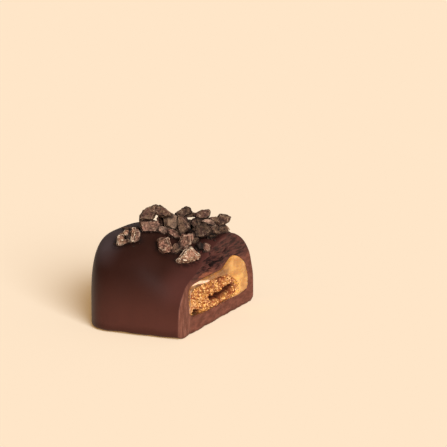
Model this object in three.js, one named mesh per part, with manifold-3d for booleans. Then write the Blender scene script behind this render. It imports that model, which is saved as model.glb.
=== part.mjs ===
// Half of a filled chocolate bar, cut across and stood on its foot, in millimetres.
// +X comes out of the cut face, -Y is the long side that shows, +Z is up, and the origin is under
// the middle of the half, on the surface it stands on.
// Three solids: the chocolate coat with the cocoa nibs stuck on it, the caramel under the coat, and
// the biscuit that the caramel runs round.

import * as THREE from 'three';
import { ConvexGeometry } from 'three/addons/geometries/ConvexGeometry.js';
import { ParametricGeometry } from 'three/addons/geometries/ParametricGeometry.js';
import { mergeVertices } from 'three/addons/utils/BufferGeometryUtils.js';
import Module from 'manifold-3d';

const wasm = await Module();
wasm.setup();

// ---------------------------------------------------------------- driving dimensions, mm

const TIP_X = -9.6; // rounded end of the half
const CUT_X = 9.4; // plane of the cut
const HALF_WIDTH = 15.2; // middle to long side
const COAT_TOP = 14.3; // surface to the crest of the coat
const BASE_THICKNESS = 2.25; // chocolate under the filling
const END_THICKNESS = 2.7; // chocolate behind the filling
const SEAT_GAP = 0.3; // between neighbouring solids

// Each layer is a bar with a domed section. Its long end is rounded over `cap`, it is widest at
// `waist`, and it sinks by `slump` towards the cut, where its shoulders take their own roundness,
// its far side stands `farLift` higher from `liftFrom` on, and its near shoulder is pressed in by
// `dent`.
const COAT = {
  tip: TIP_X, cap: 7.8, half: HALF_WIDTH, mid: 0, floor: -0.15, waist: 2.7, top: COAT_TOP,
  plan: 2.6, rise: 8, foot: 9, shoulder: 3.4, nearShoulder: 2.2, farShoulder: 2.4,
  slump: 1.8, slumpFrom: -0.5, farLift: 1.4, liftFrom: -4, dent: 1.5,
};
const FILLING = {
  tip: TIP_X + END_THICKNESS, cap: 6, half: 12.3, mid: 0.3, floor: BASE_THICKNESS, waist: 4.4,
  top: COAT_TOP - 2.7, plan: 2.5, rise: 4, foot: 7, shoulder: 3, nearShoulder: 7, farShoulder: 2.6,
  slump: 3.55, slumpFrom: -2, farLift: 2.0, liftFrom: 0.5, dent: 0,
};
const BISCUIT = {
  tip: -3, cap: 2.4, half: 9.5, mid: -1.5, floor: BASE_THICKNESS + SEAT_GAP, waist: 3.8,
  top: 7.1, plan: 4, rise: 4, foot: 3.4, shoulder: 5, nearShoulder: 7, farShoulder: 1.9,
  slump: 0, slumpFrom: 0, farLift: 0, liftFrom: 0, dent: 0,
};
const LIFT_TO_Y = 7; // where the far side stands at its full height
const DENT_Y = -8.5; // middle of the pressed shoulder, and how far it reaches each way
const DENT_REACH = 4;

const COAT_UNEVENNESS = 0.1; // slow waves that a poured coat keeps
const WAVES_ALONG = 0.42; // radians per mm
const WAVES_ROUND = 3; // waves in one turn round the section
const FOOT_LIP = 0.18; // chocolate that ran out at the bottom of the side
const FOOT_LIP_HEIGHT = 1.3;
const END_FADE = 1.5; // the rounded end keeps its plain form over this length

const CRUMB = 0.42; // height of the biscuit's broken crumb
const CRUMB_GRAIN = 0.95; // width of one crumb
const CRACKS = [ // in the biscuit, each from one [Y, Z] to another
  { from: [-2.3, 3.75], to: [8.6, 4.6], halfWidth: 0.46, depth: 1.3 },
  { from: [-3.6, 4.7], to: [-1.6, 3.9], halfWidth: 0.42, depth: 0.9 },
];
const PIT = { y: -8.4, z: 2.85, slope: -0.25, width: 2.2, height: 0.95, depth: 1.2 }; // near its corner

const CUT_ROUGHNESS = 0.08; // low swells that the knife left
const CUT_RIM = { drop: 0.25, width: 1.6 }; // the near wall leans back at its outer edge
const CARAMEL_SWELL = 0.18; // caramel stands this far out of the cut
const TEAR_HEIGHT = 0.3; // folds torn into the chocolate above the filling
const TEAR_PITCH = 0.95;
const TEAR_SLANT = 0.06; // rise of a fold per mm along it
const TEAR_MID = [-3.2, 10.1]; // Y and Z of the torn patch
const TEAR_REACH = [5.2, 2.1];

const CHOCOLATE_LOOK = { color: 0x502b23, roughness: 0.4, metalness: 0 };
const CARAMEL_LOOK = { color: 0xc98d4b, roughness: 0.2, metalness: 0 };
const BISCUIT_LOOK = { color: 0xb87840, roughness: 0.85, metalness: 0 };

// ---------------------------------------------------------------- small maths

const clamp = (v, low, high) => Math.min(Math.max(v, low), high);

function smooth(from, to, v) {
  const t = clamp((v - from) / (to - from), 0, 1);
  return t * t * (3 - 2 * t);
}

function hash(i, j, seed) {
  const v = Math.sin(i * 12.9898 + j * 78.233 + seed * 37.719) * 43758.5453;
  return v - Math.floor(v);
}

// Value noise between -1 and 1 on a grid of unit cells.
function noise(u, v, seed) {
  const i = Math.floor(u);
  const j = Math.floor(v);
  const a = smooth(0, 1, u - i);
  const b = smooth(0, 1, v - j);
  const low = hash(i, j, seed) * (1 - a) + hash(i + 1, j, seed) * a;
  const high = hash(i, j + 1, seed) * (1 - a) + hash(i + 1, j + 1, seed) * a;
  return 2 * (low * (1 - b) + high * b) - 1;
}

// Distance from a point to a segment, and how far along the segment its foot is.
function toSegment(y, z, from, to) {
  const dy = to[0] - from[0];
  const dz = to[1] - from[1];
  const t = clamp(((y - from[0]) * dy + (z - from[1]) * dz) / (dy * dy + dz * dz), 0, 1);
  return { along: t, away: Math.hypot(y - from[0] - t * dy, z - from[1] - t * dz) };
}

// ---------------------------------------------------------------- solids from geometry

// Joins a geometry's seams and poles, so that it is one closed mesh, and makes it a solid.
function solid(geometry) {
  geometry.deleteAttribute('normal');
  geometry.deleteAttribute('uv');
  const welded = mergeVertices(geometry, 1e-4);
  const index = welded.index.array;
  const triVerts = [];
  for (let i = 0; i < index.length; i += 3) {
    const [a, b, c] = [index[i], index[i + 1], index[i + 2]];
    if (a !== b && b !== c && c !== a) {
      triVerts.push(a, b, c);
    }
  }
  const mesh = new wasm.Mesh({
    numProp: 3,
    vertProperties: new Float32Array(welded.attributes.position.array),
    triVerts: new Uint32Array(triVerts),
  });
  return new wasm.Manifold(mesh);
}

// The one body of a joined solid: hollows that the join sealed are filled.
function outerBody(joined) {
  const bodies = joined.decompose();
  bodies.sort((a, b) => b.volume() - a.volume());
  return bodies[0];
}

function geometryOf(manifold) {
  const { numProp, vertProperties, triVerts } = manifold.getMesh();
  const geometry = new THREE.BufferGeometry();
  const position = new Float32Array((vertProperties.length / numProp) * 3);
  for (let i = 0; i < position.length / 3; i += 1) {
    position.set(vertProperties.subarray(i * numProp, i * numProp + 3), i * 3);
  }
  geometry.setAttribute('position', new THREE.BufferAttribute(position, 3));
  geometry.setIndex([...triVerts]);
  return geometry;
}

// ---------------------------------------------------------------- the bar form

const arc = (d, power) => (1 - d ** power) ** (1 / power);

function slowWaves(x, phi) {
  const along = Math.sin(WAVES_ALONG * x + 1.3 * Math.sin(phi) + 0.6);
  const round = Math.sin(WAVES_ROUND * phi + 0.75 * WAVES_ALONG * x + 1.1);
  return COAT_UNEVENNESS * (0.6 * along + 0.4 * round);
}

// Point of a layer at station x and angle phi round its section, swollen by `grow`.
function barPoint(form, x, phi, grow, target) {
  const reach = clamp((form.tip - grow + form.cap - x) / form.cap, 0, 1);
  const near = Math.cos(phi) < 0;
  const upper = Math.sin(phi) >= 0;
  const sunk = smooth(form.slumpFrom, CUT_X, x);
  const shoulderAtCut = near ? form.nearShoulder : form.farShoulder;
  const shoulder = form.shoulder + (shoulderAtCut - form.shoulder) * sunk;
  const power = upper ? shoulder : form.foot;
  const c = Math.cos(phi);
  const s = Math.sin(phi);
  const radius = (Math.abs(c) ** power + Math.abs(s) ** power) ** (-1 / power);
  const y = form.mid + (form.half + grow) * arc(reach, form.plan) * radius * c;
  const lift = form.farLift * sunk * smooth(form.liftFrom, LIFT_TO_Y, y) * Math.max(s, 0);
  const fromDent = (y - DENT_Y) / DENT_REACH;
  const pressed = form.dent * sunk * Math.exp(-(fromDent ** 2)) * clamp(2 * s, 0, 1);
  const top = form.top + grow - form.slump * sunk + lift;
  const floor = form.floor - grow;
  const z = upper
    ? form.waist + (top - form.waist) * arc(reach, form.rise) * radius * s - pressed
    : form.waist + (form.waist - floor) * arc(reach, form.foot) * radius * s;
  return target.set(x, y, z);
}

// Closed bar from its rounded end to station `endX`: `capSteps` loops round the end, `barSteps`
// along the rest, and both ends drawn together in a point on the axis.
function barSolid(form, { grow = 0, endX, capSteps, barSteps, sides, finish = null }) {
  const straightX = form.tip - grow + form.cap;
  const steps = capSteps + barSteps + 1;
  const point = (u, v, target) => {
    const step = Math.round(u * steps);
    const phi = -2 * Math.PI * v;
    if (step === steps) {
      return target.set(endX, form.mid, form.waist);
    }
    let x = straightX + ((endX - straightX) * (step - capSteps)) / barSteps;
    if (step < capSteps) {
      const eta = (Math.PI / 2) * (step / capSteps);
      const round = (Math.cos(eta) ** 4 + Math.sin(eta) ** 4) ** -0.25;
      x = straightX - form.cap * round * Math.cos(eta);
    }
    barPoint(form, x, phi, grow, target);
    return finish ? finish(target, x, phi) : target;
  };
  return solid(new ParametricGeometry(point, steps, sides));
}

// The coat's own finish: slow waves, a lip at the foot, and a flat underside.
function coatFinish(point, x, phi) {
  const fade = smooth(TIP_X, TIP_X + END_FADE, x);
  const outward = slowWaves(x, phi) * fade;
  const lip = FOOT_LIP * fade * (1 - smooth(0, FOOT_LIP_HEIGHT, point.z));
  const ripple = 0.7 + 0.3 * Math.sin(1.1 * x + 0.8 * point.y);
  point.y += Math.cos(phi) * (outward + lip * ripple);
  point.z += Math.max(Math.sin(phi), 0) * outward;
  point.z = Math.max(point.z, 0);
  return point;
}

// ---------------------------------------------------------------- the cut face

// Block in front of the cut, whose rear face follows `relief` (mm out of the plane of the cut).
function blockBeforeCut(relief, { width, height, midY, midZ, columns, rows }) {
  const depth = 6;
  const box = new THREE.BoxGeometry(depth, width, height, 1, columns, rows);
  box.translate(CUT_X + depth / 2, midY, midZ);
  const position = box.attributes.position;
  for (let i = 0; i < position.count; i += 1) {
    if (position.getX(i) < CUT_X + 0.01) {
      position.setX(i, CUT_X + relief(position.getY(i), position.getZ(i)));
    }
  }
  return solid(box);
}

// Chocolate: nearly flat, a little behind the plane at its rim, with folds torn above the filling.
function chocolateRelief(y, z) {
  const reach = Math.hypot((y - TEAR_MID[0]) / TEAR_REACH[0], (z - TEAR_MID[1]) / TEAR_REACH[1]);
  const torn = 1 - smooth(0.35, 1.1, reach);
  const across = (z - TEAR_SLANT * y + 0.35 * noise(y * 0.7, z * 0.7, 5)) / TEAR_PITCH;
  const folds = TEAR_HEIGHT * torn * Math.sin(2 * Math.PI * across);
  const rim = CUT_RIM.drop * (1 - smooth(-HALF_WIDTH, -HALF_WIDTH + CUT_RIM.width, y));
  return folds - rim + CUT_ROUGHNESS * noise(y * 0.45, z * 0.45, 2);
}

function caramelRelief(y, z) {
  const pillow = smooth(-12, 4, y) * (1 - 0.6 * smooth(8, 12.5, y));
  return CARAMEL_SWELL * pillow + CUT_ROUGHNESS * noise(y * 0.5, z * 0.5, 9);
}

// Biscuit: broken crumb, its cracks and a hollow at the bottom of its near end.
function biscuitRelief(y, z) {
  const coarse = noise(y / CRUMB_GRAIN, z / CRUMB_GRAIN, 3);
  const pit = Math.hypot((y - PIT.y) / PIT.width, (z - PIT.slope * (y - PIT.y) - PIT.z) / PIT.height);
  let depth = PIT.depth * (1 - smooth(0.2, 1, pit));
  for (const crack of CRACKS) {
    const { along, away } = toSegment(y, z + 0.25 * noise(y * 0.8, 0.5, 7), crack.from, crack.to);
    const open = crack.halfWidth * (0.45 + 0.55 * Math.sin(Math.PI * clamp(along, 0.06, 0.94)));
    depth += crack.depth * (1 - smooth(0.4 * open, 1.4 * open, away));
  }
  return CRUMB * (coarse - 0.55) - depth;
}

// ---------------------------------------------------------------- cocoa nibs

// A nib is a broken chip: an outline (mm, as seen along its facing direction, from its middle) that
// narrows to the front and to the back. `face` is the azimuth and elevation that it faces, and
// `deep` its depth.
const NIBS = [
  { name: 'hollow_left', at: [-3.35, -9.6, 14.1], face: [30, 15], deep: 1.4,
    outline: [[-0.6, 0.5], [0.1, 0.95], [0.5, 1.0], [0.6, -0.25], [0.3, -0.8], [-0.25, -0.95],
      [-0.7, -0.75]] },
  { name: 'hollow_knob', at: [-2.6, -9.35, 15.15], face: [25, 20], deep: 1.4,
    outline: [[-0.6, 0.0], [-0.15, 0.4], [0.45, 0.35], [0.5, -0.05], [0.3, -0.55], [-0.35, -0.55]] },
  { name: 'hollow_base', at: [-2.7, -10.05, 13.4], face: [20, 30], deep: 1.2,
    outline: [[-1.1, 0.15], [-0.15, 0.05], [1.1, 0.8], [1.3, 0.45], [0.45, -0.1], [-0.6, -0.55],
      [-0.95, -0.4]] },
  { name: 'hollow_middle', at: [-2.35, -8.8, 14.2], face: [30, 15], deep: 2.2,
    outline: [[-0.7, 0.5], [0.1, 0.75], [0.85, 0.8], [0.8, -0.1], [0.4, -0.8], [-0.4, -1.1]] },
  { name: 'hollow_leg', at: [-1.6, -9.35, 14.75], face: [45, 5], deep: 1.0,
    outline: [[0.1, 1.2], [0.65, 1.15], [0.55, 0.45], [0.0, -1.1], [-0.5, -1.05], [-0.2, 0.0]] },
  { name: 'hollow_right', at: [-1.3, -8.65, 14.5], face: [45, 10], deep: 1.8,
    outline: [[-0.15, 1.15], [0.45, 1.05], [0.65, 0.4], [0.4, -0.6], [-0.25, -1.1], [-0.7, -1.1],
      [-0.45, 0.0]] },
  { name: 'twig', at: [-5.25, -2.4, 14.4], face: [25, 10], deep: 0.7,
    outline: [[-1.45, 0.2], [0.3, 0.15], [1.25, 0.2], [1.4, -0.1], [-0.3, -0.3], [-1.1, -0.2]] },
  { name: 'arch_dome', at: [-1.4, -2.85, 17.55], face: [23, 11], deep: 2.0,
    outline: [[-1.75, -1.45], [-1.65, -0.6], [-1.15, 0.1], [-0.5, 0.6], [0.2, 0.9], [0.85, 1.1],
      [1.25, 0.95], [1.15, 0.15], [0.4, -1.45]] },
  { name: 'arch_leg', at: [0.55, -2.2, 17.5], face: [30, 20], deep: 2.0,
    outline: [[-1.2, 0.85], [-0.25, 1.05], [0.4, 0.55], [1.25, -0.2], [1.4, -0.9], [0.35, -0.95],
      [-0.8, -0.65], [-1.4, -0.2]] },
  { name: 'arch_foot', at: [-1.45, -2.95, 15.05], face: [18, 8], deep: 2.3,
    outline: [[-1.7, 0.95], [0.45, 1.1], [1.2, 0.95], [1.6, 0.35], [1.25, -0.7], [0.55, -0.95],
      [-1.15, -0.9], [-1.55, -0.1]] },
  { name: 'behind_arch', at: [0.2, 0.45, 15.5], face: [15, 25], deep: 2.6,
    outline: [[-1.45, 0.65], [-0.55, 1.2], [0.6, 1.2], [1.15, 0.95], [1.3, -0.85], [0.5, -1.75],
      [-0.9, -1.4]] },
  { name: 'ridge_left', at: [1.6, -1.1, 15.7], face: [40, 10], deep: 2.3,
    outline: [[-1.3, 0.8], [-0.6, 1.3], [0.1, 1.35], [0.75, 1.05], [0.75, -1.0], [-0.1, -1.25],
      [-1.15, -0.6]] },
  { name: 'ridge_middle', at: [3.1, -0.4, 14.95], face: [30, 20], deep: 2.2,
    outline: [[-0.9, 1.85], [0.15, 1.7], [1.15, 0.4], [1.25, -0.3], [0.4, -1.05], [-0.25, -1.7],
      [-0.7, -0.9], [-1.0, 0.15]] },
  { name: 'peak', at: [2.45, 1.85, 16.85], face: [15, 15], deep: 2.0,
    outline: [[-1.35, -0.2], [-0.55, 0.5], [0.4, 1.05], [0.95, 0.8], [1.45, 0.15], [0.65, -0.15],
      [0.3, -0.6], [-0.6, -1.0], [-1.2, -0.65]] },
  { name: 'under_peak', at: [1.45, 2.9, 15.05], face: [10, 25], deep: 2.4,
    outline: [[-1.3, 1.0], [0.3, 1.05], [0.85, 0.4], [1.15, -0.6], [0.0, -1.25], [-1.1, -0.5]] },
  { name: 'gap_roof', at: [2.95, 3.55, 16.2], face: [25, 10], deep: 2.2,
    outline: [[-1.3, 0.2], [0.05, 0.5], [0.8, 0.3], [1.0, -0.25], [0.05, -0.4], [-1.1, -0.4]] },
  { name: 'gap_left', at: [2.7, 1.95, 15.8], face: [30, 10], deep: 1.4,
    outline: [[-0.5, 0.65], [0.0, 0.55], [0.2, 0.2], [0.2, -0.15], [0.55, -0.5], [-0.05, -0.7],
      [-0.6, -0.1]] },
  { name: 'gap_floor', at: [3.45, 2.5, 15.1], face: [15, 15], deep: 1.8,
    outline: [[-1.0, 0.5], [0.15, 0.5], [1.05, 0.25], [0.9, -0.45], [-0.2, -0.75], [-0.9, -0.1]] },
  { name: 'high_right', at: [5.3, 3, 16.6], face: [40, 15], deep: 1.7,
    outline: [[-1.4, 0.2], [-0.65, 0.35], [-0.1, 0.65], [0.95, 0.7], [1.3, 0.45], [0.95, -0.45],
      [0.25, -0.75], [-0.85, -0.75], [-1.45, -0.35]] },
  { name: 'under_high_right', at: [4.7, 3.15, 15], face: [70, 30], deep: 2.3,
    outline: [[-1.3, 0.9], [0.2, 0.9], [1.85, 0.35], [1.85, -0.4], [0.5, -1.15], [-1.4, -0.85],
      [-1.85, 0.15]] },
  { name: 'flat_shard', at: [7, 1.7, 15.45], face: [10, 35], deep: 0.9,
    outline: [[-1.2, 0.4], [-0.15, 0.7], [0.65, 0.4], [1.3, -0.5], [0.95, -0.65], [-0.5, -0.05],
      [-1.1, 0.15]] },
  { name: 'far_band', at: [7.1, 3.3, 15.6], face: [20, 25], deep: 2.0,
    outline: [[-0.75, 0.4], [0.9, 0.45], [1.1, -0.5], [0.15, -0.7], [-0.6, -0.4]] },
  { name: 'far_right', at: [8.05, 4.6, 15.6], face: [20, 10], deep: 1.9,
    outline: [[-0.8, 0.35], [-0.3, 0.95], [0.7, 0.9], [1.4, 0.45], [1.15, -0.35], [0.3, -0.95],
      [-0.45, -1.25], [-1.0, -0.4]] },
  { name: 'under_far_right', at: [7.5, 4.4, 14.2], face: [50, 45], deep: 2.1,
    outline: [[-1.3, 0.2], [-0.3, 1.1], [1.1, 0.6], [1.3, -0.6], [0.1, -1.2], [-1.1, -0.8]] },
  { name: 'big_dark', at: [6.85, -0.7, 14.5], face: [28, 15], deep: 2.4,
    outline: [[-1.55, 0.3], [-0.95, 0.95], [0.4, 1.25], [1.05, 0.75], [1.4, 0.0], [0.9, -0.65],
      [-0.3, -1.05], [-1.25, -1.0]] },
  { name: 'big_leg', at: [5.95, -1.6, 13.35], face: [20, 5], deep: 1.6,
    outline: [[-0.5, 1.15], [0.45, 0.9], [0.75, 0.2], [0.35, -0.75], [-0.15, -1.15],
      [-0.45, -0.65], [-0.35, 0.3]] },
  { name: 'small_left', at: [1.2, -2.85, 14.55], face: [10, 30], deep: 1.2,
    outline: [[-1.25, 0.05], [-0.85, 0.65], [0.3, 0.55], [1.1, 0.15], [0.9, -0.65], [-0.35, -0.6]] },
  { name: 'small_right', at: [2.65, -2.95, 14.1], face: [25, 30], deep: 1.2,
    outline: [[-0.9, 0.75], [-0.05, 0.85], [0.7, 0.4], [1.2, -0.6], [0.5, -0.95], [-1.0, 0.15]] },
  { name: 'square_block', at: [3.75, -8.15, 13.5], face: [12, 25], deep: 2.0,
    outline: [[-1.25, 0.55], [-0.8, 0.95], [0.45, 1.05], [0.9, 0.25], [1.15, -0.45],
      [0.8, -1.15], [-0.3, -1.5], [-0.9, -1.05]] },
  { name: 'slanting_block', at: [5.9, -5.3, 13.55], face: [30, 22], deep: 1.9,
    outline: [[-0.4, 1.2], [1.2, 1.15], [1.25, 0.35], [0.85, -0.5], [-0.1, -1.3], [-1.3, -1.6],
      [-1.4, -0.8], [-0.9, 0.2]] },
  { name: 'slanting_end', at: [4.9, -6.5, 12.4], face: [5, 20], deep: 1.6,
    outline: [[-0.85, -0.7], [-0.55, 0.3], [0.15, 1.1], [1.0, 0.8], [0.9, 0.1], [0.0, -0.85],
      [-0.5, -1.0]] },
  { name: 'pale_wedge', at: [7.05, -7.15, 11.55], face: [32, 26], deep: 2.1,
    outline: [[0.8, 1.55], [2.05, -0.05], [1.7, -0.45], [-0.1, -1.05], [-1.5, -1.0],
      [-1.75, -0.5], [-0.2, 1.15]] },
  { name: 'dark_crumb', at: [7.6, -3.6, 12.6], face: [40, 20], deep: 1.3,
    outline: [[-0.6, 0.4], [0.25, 0.7], [0.75, 0.2], [0.5, -0.5], [-0.25, -0.6]] },
  { name: 'spike', at: [8.65, -3.2, 12.35], face: [20, 20], deep: 1.2,
    outline: [[-0.85, 0.7], [0.15, 0.85], [0.75, 0.4], [0.6, -0.4], [0.0, -1.25], [-0.5, -0.3]] },
  { name: 'dark_shard', at: [8.45, 1, 14.65], face: [30, 15], deep: 1.1,
    outline: [[-1.0, 0.5], [0.2, 0.75], [0.75, 0.1], [0.3, -0.75], [-0.6, -0.6]] },
  { name: 'under_dark_shard', at: [7.4, 1.8, 14.2], face: [40, 30], deep: 2.2,
    outline: [[-1.3, 0.3], [-0.3, 1.25], [1.0, 0.8], [1.3, -0.5], [0.1, -1.3], [-1.1, -0.9]] },
  { name: 'back_left', at: [-2.4, 5.1, 14.7], face: [-150, 30], deep: 2.0,
    outline: [[-1.4, -0.2], [-0.5, 0.9], [0.8, 1.0], [1.4, 0.1], [0.7, -0.9], [-0.8, -0.8]] },
  { name: 'back_middle', at: [3.7, 6.4, 14.4], face: [170, 35], deep: 2.1,
    outline: [[-1.5, 0.1], [-0.7, 1.1], [0.7, 0.9], [1.3, 0.0], [0.9, -1.0], [-0.6, -1.1]] },
  { name: 'back_right', at: [6.7, 7.6, 13.2], face: [150, 30], deep: 1.8,
    outline: [[-1.2, -0.3], [-0.8, 0.7], [0.5, 1.0], [1.2, 0.2], [0.5, -0.9], [-0.7, -0.8]] },
];
// Share of the outline, and place in the depth, of the loops that a chip's hull goes round: its
// widest one a little before the middle, then its front and its back.
const NIB_LOOPS = [[1.04, 0.1], [0.74, 0.5], [0.66, -0.5]];
const NIB_UNEVENNESS = 0.22; // mm that the corners of its front and back are off by

function nibSolid({ at, face, deep, outline }, number) {
  const azimuth = THREE.MathUtils.degToRad(face[0]);
  const elevation = THREE.MathUtils.degToRad(face[1]);
  const forward = new THREE.Vector3(
    Math.sin(azimuth) * Math.cos(elevation),
    -Math.cos(azimuth) * Math.cos(elevation),
    Math.sin(elevation),
  );
  const right = new THREE.Vector3(Math.cos(azimuth), Math.sin(azimuth), 0);
  const up = new THREE.Vector3().crossVectors(forward, right);
  const middle = new THREE.Vector3(...at);
  const points = [];
  outline.forEach(([u, v], corner) => {
    NIB_LOOPS.forEach(([scale, level], k) => {
      const shift = k === 0 ? 0 : NIB_UNEVENNESS * (hash(number, corner, k) - 0.5);
      points.push(
        middle.clone()
          .addScaledVector(right, u * scale + shift)
          .addScaledVector(up, v * scale - shift)
          .addScaledVector(forward, deep * level * (1 - Math.abs(shift))),
      );
    });
  });
  return solid(new ConvexGeometry(points));
}

// ---------------------------------------------------------------- the three solids

function chocolateShell() {
  const coat = barSolid(COAT, {
    endX: CUT_X + 1, capSteps: 9, barSteps: 8, sides: 46, finish: coatFinish,
  });
  const hollow = barSolid(FILLING, { endX: CUT_X + 2, capSteps: 6, barSteps: 6, sides: 30 });
  const cutter = blockBeforeCut(chocolateRelief, {
    width: 34, height: 20, midY: 0, midZ: 8, columns: 36, rows: 50,
  });
  const shell = coat.subtract(hollow).subtract(cutter);
  const joined = NIBS.reduce((body, nib, number) => body.add(nibSolid(nib, number)), shell);
  return outerBody(joined);
}

function caramelLayer() {
  const filling = barSolid(FILLING, {
    grow: -SEAT_GAP, endX: CUT_X + 1, capSteps: 6, barSteps: 6, sides: 30,
  });
  const seat = barSolid(BISCUIT, { grow: SEAT_GAP, endX: CUT_X + 2, capSteps: 4, barSteps: 5, sides: 28 });
  const cutter = blockBeforeCut(caramelRelief, {
    width: 28, height: 12, midY: 0, midZ: 6, columns: 14, rows: 7,
  });
  return outerBody(filling.subtract(seat).subtract(cutter));
}

function biscuitPiece() {
  const biscuit = barSolid(BISCUIT, { endX: CUT_X + 1, capSteps: 4, barSteps: 5, sides: 28 });
  const cutter = blockBeforeCut(biscuitRelief, {
    width: 21, height: 8, midY: BISCUIT.mid, midZ: 5, columns: 42, rows: 17,
  });
  return outerBody(biscuit.subtract(cutter));
}

// ---------------------------------------------------------------- the scene graph

function addPart(group, name, body, look) {
  const mesh = new THREE.Mesh(geometryOf(body), new THREE.MeshStandardMaterial(look));
  mesh.name = name;
  group.add(mesh);
}

const filledChocolate = new THREE.Group();
addPart(filledChocolate, 'chocolate_shell', chocolateShell(), CHOCOLATE_LOOK);
addPart(filledChocolate, 'caramel', caramelLayer(), CARAMEL_LOOK);
addPart(filledChocolate, 'biscuit', biscuitPiece(), BISCUIT_LOOK);

export default filledChocolate;
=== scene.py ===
# Half of a filled chocolate bar, cut across and stood on its foot: a dark coat with cocoa nibs on
# its top, and in the cut a biscuit core with caramel round it.
# Lengths are in mm up to the last step of each piece, which brings it to metres. +X comes out of the
# cut face, -Y is the long side that shows, +Z is up.

from dataclasses import dataclass
from math import cos, exp, floor, hypot, pi, radians, sin, tau
from random import Random

import bmesh
import bpy
from mathutils import Matrix, Vector, noise
from mathutils.bvhtree import BVHTree


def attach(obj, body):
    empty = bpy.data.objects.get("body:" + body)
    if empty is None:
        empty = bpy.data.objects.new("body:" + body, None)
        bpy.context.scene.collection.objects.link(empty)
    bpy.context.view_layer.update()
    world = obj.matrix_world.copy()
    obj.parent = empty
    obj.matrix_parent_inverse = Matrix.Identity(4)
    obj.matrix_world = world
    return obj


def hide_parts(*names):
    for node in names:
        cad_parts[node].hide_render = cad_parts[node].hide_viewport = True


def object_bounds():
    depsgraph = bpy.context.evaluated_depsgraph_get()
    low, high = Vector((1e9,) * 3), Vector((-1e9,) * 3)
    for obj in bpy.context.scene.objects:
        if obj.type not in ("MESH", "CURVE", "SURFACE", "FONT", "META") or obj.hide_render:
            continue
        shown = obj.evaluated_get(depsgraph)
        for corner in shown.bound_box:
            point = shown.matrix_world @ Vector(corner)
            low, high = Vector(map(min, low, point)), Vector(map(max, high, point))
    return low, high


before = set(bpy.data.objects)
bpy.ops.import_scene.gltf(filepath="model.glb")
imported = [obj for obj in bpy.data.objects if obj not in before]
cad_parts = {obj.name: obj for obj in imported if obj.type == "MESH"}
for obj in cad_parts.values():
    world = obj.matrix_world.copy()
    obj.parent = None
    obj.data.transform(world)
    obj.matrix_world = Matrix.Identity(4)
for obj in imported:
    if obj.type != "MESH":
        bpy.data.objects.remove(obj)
cad_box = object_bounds()

MM = 0.001
NOISE_SEED = 1

noise.seed_set(NOISE_SEED)


# ------------ driving dimensions, mm

@dataclass
class Layer:
    """A bar with a domed section whose long end is rounded over `cap`. It is widest at `waist` and
    sinks by `slump` towards the cut, where its shoulders take their own roundness, its far side
    stands `far_lift` higher from `lift_from` on, and its near shoulder is pressed in by `dent`."""
    tip: float
    cap: float
    half: float
    mid: float
    floor: float
    waist: float
    top: float
    plan: float
    rise: float
    foot: float
    shoulder: float
    near_shoulder: float
    far_shoulder: float
    slump: float = 0
    slump_from: float = 0
    far_lift: float = 0
    lift_from: float = -4
    dent: float = 0


TIP_X = -9.6
CUT_X = 9.4
HALF_WIDTH = 15.2
COAT_TOP = 14.3
BASE_THICKNESS = 2.25
END_THICKNESS = 2.7
TOP_THICKNESS = 2.7
SEAT_GAP = 0.3

COAT = Layer(
    tip=TIP_X, cap=7.8, half=HALF_WIDTH, mid=0, floor=-0.15, waist=2.7, top=COAT_TOP, plan=2.6, rise=8,
    foot=9, shoulder=3.4, near_shoulder=2.2, far_shoulder=2.4, slump=1.8, slump_from=-0.5, far_lift=1.4,
    dent=1.5)
FILLING = Layer(
    tip=TIP_X + END_THICKNESS, cap=6, half=12.3, mid=0.3, floor=BASE_THICKNESS, waist=4.4,
    top=COAT_TOP - TOP_THICKNESS, plan=2.5, rise=4, foot=7, shoulder=3, near_shoulder=7, far_shoulder=2.6,
    slump=3.55, slump_from=-2, far_lift=2.0, lift_from=0.5)
BISCUIT = Layer(
    tip=-3, cap=2.4, half=9.5, mid=-1.5, floor=BASE_THICKNESS + SEAT_GAP, waist=3.8, top=7.1, plan=4,
    rise=4, foot=3.4, shoulder=5, near_shoulder=7, far_shoulder=1.9)
DENT_Y = -8.5
DENT_REACH = 4
LIFT_TO_Y = 7  # the far side's lift is full from here on
HUG_X = (6, 9)  # between these the chocolate closes round the biscuit
HUG_GAP = 0.12  # and stays this far off it
FILM = 0.04  # between layers that cling to each other
CUT_EDGE = 0.16  # roundness of the edge between the side and the cut

COAT_UNEVENNESS = 0.1
WAVES_ALONG = 0.42
WAVES_ROUND = 3
FOOT_LIP = 0.18
FOOT_LIP_HEIGHT = 1.3
END_FADE = 1.5
RUFFLE = 0.17  # the foot's edge lifts off the table by up to this much
RUFFLE_HEIGHT = 0.7
RUFFLE_BY_SIDE = (2.2, 0.8)  # it grows between these distances from the widest line of a side
RUFFLE_BY_CUT = (1.2, 0.2)  # and these from the cut

CRUMB = 0.42
CRUMB_GRAIN = 0.95
CRUMB_JOG = 0.1
CRUMB_EDGE_RISE = 0.22  # the biscuit stands out more at its outline
GRAIN = 0.55  # fine grain of the biscuit
GRAIN_RISE = 0.19
GRAIN_GAP = 0.14  # depth of the gaps between grains
TORN_RISE = 0.16
HOLE_DEPTH = 0.45
CRACK_WANDER = 0.25
CRACKS = (  # each from one (Y, Z) to another, and its half width and depth
    ((-2.3, 3.75), (8.6, 4.6), 0.52, 1.3),
    ((-3.6, 4.7), (-1.6, 3.9), 0.42, 0.9),
    ((0.6, 3.55), (7.2, 4.0), 0.6, 0.45),
)
CRACK_SOFTNESS = 0.8  # crumbs that have fallen in make the cracks shallower
PIT_MID = (-8.4, 2.85)
PIT_SIZE = (2.2, 0.95)
PIT_SLOPE = -0.25
PIT_DEPTH = 1.7

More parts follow.
